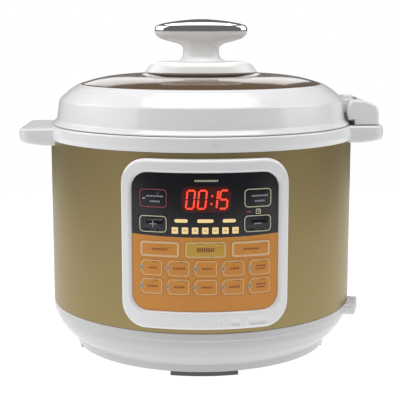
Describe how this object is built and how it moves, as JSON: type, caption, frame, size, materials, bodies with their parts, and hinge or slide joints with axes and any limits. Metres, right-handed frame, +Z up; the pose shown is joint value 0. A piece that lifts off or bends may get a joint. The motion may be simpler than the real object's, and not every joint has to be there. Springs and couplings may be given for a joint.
{
  "type": "electric pressure cooker",
  "caption": "Round countertop pressure cooker with a side-hinged lid that a turning knob locks, a keypad panel and a removable pot inside.",
  "frame": {"origin": "on the cooking pot axis, in the plane that the feet stand on", "axes": "+Z up along the pot axis, -Y towards the control panel, +X towards the lid hinge"},
  "size_m": [0.335, 0.305, 0.3103],
  "materials": {
    "white_plastic": "glossy white moulded plastic",
    "rubber_feet": "matt grey rubber",
    "gold_shell": "satin metallic gold paint",
    "smoked_window": "glossy tinted plastic",
    "clear_cup": "clear plastic",
    "black_panel": "glossy black printed film",
    "orange_panel": "satin orange printed film",
    "yellow_key": "satin amber printed film",
    "pot_coating": "dark non-stick coating",
    "aluminium": "spun and cast aluminium",
    "steel": "satin steel",
    "silicone": "soft silicone",
    "circuit_board": "green solder mask",
    "black_plastic": "matt black plastic",
    "brass": "plain brass",
    "chrome": "polished chrome"
  },
  "bodies": {
    "root": {"base_housing": "white_plastic", "bottom_plate": "white_plastic", "foot_front": "rubber_feet", "foot_right": "rubber_feet", "foot_back": "rubber_feet", "foot_left": "rubber_feet", "outer_shell": "gold_shell", "upper_ring": "white_plastic", "left_handle": "white_plastic", "right_handle": "white_plastic", "hinge_housing": "white_plastic", "hinge_pin": "steel", "outer_pot": "aluminium", "inner_pot": "pot_coating", "heating_plate": "aluminium", "control_board": "circuit_board", "led_display": "black_panel", "panel_bezel": "white_plastic", "display_panel": "black_panel", "key_panel": "orange_panel", "keypad_membrane": "silicone", "inlet_housing": "white_plastic", "inlet_pin_live": "brass", "inlet_pin_earth": "brass", "inlet_pin_neutral": "brass", "cup_bracket": "white_plastic", "pressure_switch": "black_plastic", "thermal_fuse": "steel", "sensor_spring": "steel"},
    "lid": {"lid_cover": "white_plastic", "lid_window": "smoked_window", "pressure_lid": "aluminium", "lid_gasket": "silicone", "gasket_plate": "steel", "vent_pipe": "steel"},
    "knob": {"knob_plate": "white_plastic", "knob_handle": "white_plastic", "knob_cap": "chrome", "lock_ring": "steel"},
    "steam_valve": {"steam_valve": "black_plastic"},
    "float_valve": {"float_valve": "steel"},
    "sensor": {"sensor_cap": "steel"},
    "condensate_cup": {"condensate_cup": "clear_cup"},
    "key_cancel": {"key_cancel": "black_panel"},
    "key_delay": {"key_delay": "black_panel"},
    "key_plus": {"key_plus": "black_panel"},
    "key_minus": {"key_minus": "black_panel"},
    "key_browse": {"key_browse": "orange_panel"},
    "key_start": {"key_start": "yellow_key"},
    "key_warm": {"key_warm": "orange_panel"},
    "key_program_1": {"key_program_1": "orange_panel"},
    "key_program_2": {"key_program_2": "orange_panel"},
    "key_program_3": {"key_program_3": "orange_panel"},
    "key_program_4": {"key_program_4": "orange_panel"},
    "key_program_5": {"key_program_5": "orange_panel"},
    "key_program_6": {"key_program_6": "orange_panel"},
    "key_program_7": {"key_program_7": "orange_panel"},
    "key_program_8": {"key_program_8": "orange_panel"},
    "key_program_9": {"key_program_9": "orange_panel"},
    "key_program_10": {"key_program_10": "orange_panel"}
  },
  "joints": [
    {"name": "lid_hinge", "type": "hinge", "parent": "root", "child": "lid", "pos_m": [0.153, 0, 0.225], "axis": [0, 1, 0], "range_deg": [0, 95]},
    {"name": "knob_turn", "type": "hinge", "parent": "lid", "child": "knob", "pos_m": [0, 0, 0.2562], "axis": [0, 0, 1], "range_deg": [0, 30]},
    {"name": "steam_valve_lift", "type": "slide", "parent": "lid", "child": "steam_valve", "axis": [0, 0, 1], "range_m": [0, 0.003]},
    {"name": "float_valve_rise", "type": "slide", "parent": "lid", "child": "float_valve", "axis": [0, 0, 1], "range_m": [0, 0.004]},
    {"name": "sensor_press", "type": "slide", "parent": "root", "child": "sensor", "axis": [0, 0, 1], "range_m": [-0.002, 0], "stiffness_N_per_m": 600, "springref_m": 0.003, "deforming": ["sensor_spring"]},
    {"name": "cup_lift", "type": "slide", "parent": "root", "child": "condensate_cup", "axis": [0, 0, 1], "range_m": [0, 0.045]},
    {"name": "key_cancel_press", "type": "slide", "parent": "root", "child": "key_cancel", "axis": [0.2971, 0.9548, 0], "range_m": [0, 0.0005], "stiffness_N_per_m": 200, "springref_m": -0.0005},
    {"name": "key_delay_press", "type": "slide", "parent": "root", "child": "key_delay", "axis": [-0.2971, 0.9548, 0], "range_m": [0, 0.0005], "stiffness_N_per_m": 200, "springref_m": -0.0005},
    {"name": "key_plus_press", "type": "slide", "parent": "root", "child": "key_plus", "axis": [0.2971, 0.9548, 0], "range_m": [0, 0.0005], "stiffness_N_per_m": 200, "springref_m": -0.0005},
    {"name": "key_minus_press", "type": "slide", "parent": "root", "child": "key_minus", "axis": [-0.2971, 0.9548, 0], "range_m": [0, 0.0005], "stiffness_N_per_m": 200, "springref_m": -0.0005},
    {"name": "key_browse_press", "type": "slide", "parent": "root", "child": "key_browse", "axis": [0.2603, 0.9655, 0], "range_m": [0, 0.0005], "stiffness_N_per_m": 200, "springref_m": -0.0005},
    {"name": "key_start_press", "type": "slide", "parent": "root", "child": "key_start", "axis": [0, 1, 0], "range_m": [0, 0.0005], "stiffness_N_per_m": 200, "springref_m": -0.0005},
    {"name": "key_warm_press", "type": "slide", "parent": "root", "child": "key_warm", "axis": [-0.2603, 0.9655, 0], "range_m": [0, 0.0005], "stiffness_N_per_m": 200, "springref_m": -0.0005},
    {"name": "key_program_1_press", "type": "slide", "parent": "root", "child": "key_program_1", "axis": [0.3087, 0.9512, 0], "range_m": [0, 0.0005], "stiffness_N_per_m": 200, "springref_m": -0.0005},
    {"name": "key_program_2_press", "type": "slide", "parent": "root", "child": "key_program_2", "axis": [0.1563, 0.9877, 0], "range_m": [0, 0.0005], "stiffness_N_per_m": 200, "springref_m": -0.0005},
    {"name": "key_program_3_press", "type": "slide", "parent": "root", "child": "key_program_3", "axis": [0, 1, 0], "range_m": [0, 0.0005], "stiffness_N_per_m": 200, "springref_m": -0.0005},
    {"name": "key_program_4_press", "type": "slide", "parent": "root", "child": "key_program_4", "axis": [-0.1563, 0.9877, 0], "range_m": [0, 0.0005], "stiffness_N_per_m": 200, "springref_m": -0.0005},
    {"name": "key_program_5_press", "type": "slide", "parent": "root", "child": "key_program_5", "axis": [-0.3087, 0.9512, 0], "range_m": [0, 0.0005], "stiffness_N_per_m": 200, "springref_m": -0.0005},
    {"name": "key_program_6_press", "type": "slide", "parent": "root", "child": "key_program_6", "axis": [0.3087, 0.9512, 0], "range_m": [0, 0.0005], "stiffness_N_per_m": 200, "springref_m": -0.0005},
    {"name": "key_program_7_press", "type": "slide", "parent": "root", "child": "key_program_7", "axis": [0.1563, 0.9877, 0], "range_m": [0, 0.0005], "stiffness_N_per_m": 200, "springref_m": -0.0005},
    {"name": "key_program_8_press", "type": "slide", "parent": "root", "child": "key_program_8", "axis": [0, 1, 0], "range_m": [0, 0.0005], "stiffness_N_per_m": 200, "springref_m": -0.0005},
    {"name": "key_program_9_press", "type": "slide", "parent": "root", "child": "key_program_9", "axis": [-0.1563, 0.9877, 0], "range_m": [0, 0.0005], "stiffness_N_per_m": 200, "springref_m": -0.0005},
    {"name": "key_program_10_press", "type": "slide", "parent": "root", "child": "key_program_10", "axis": [-0.3087, 0.9512, 0], "range_m": [0, 0.0005], "stiffness_N_per_m": 200, "springref_m": -0.0005}
  ]
}
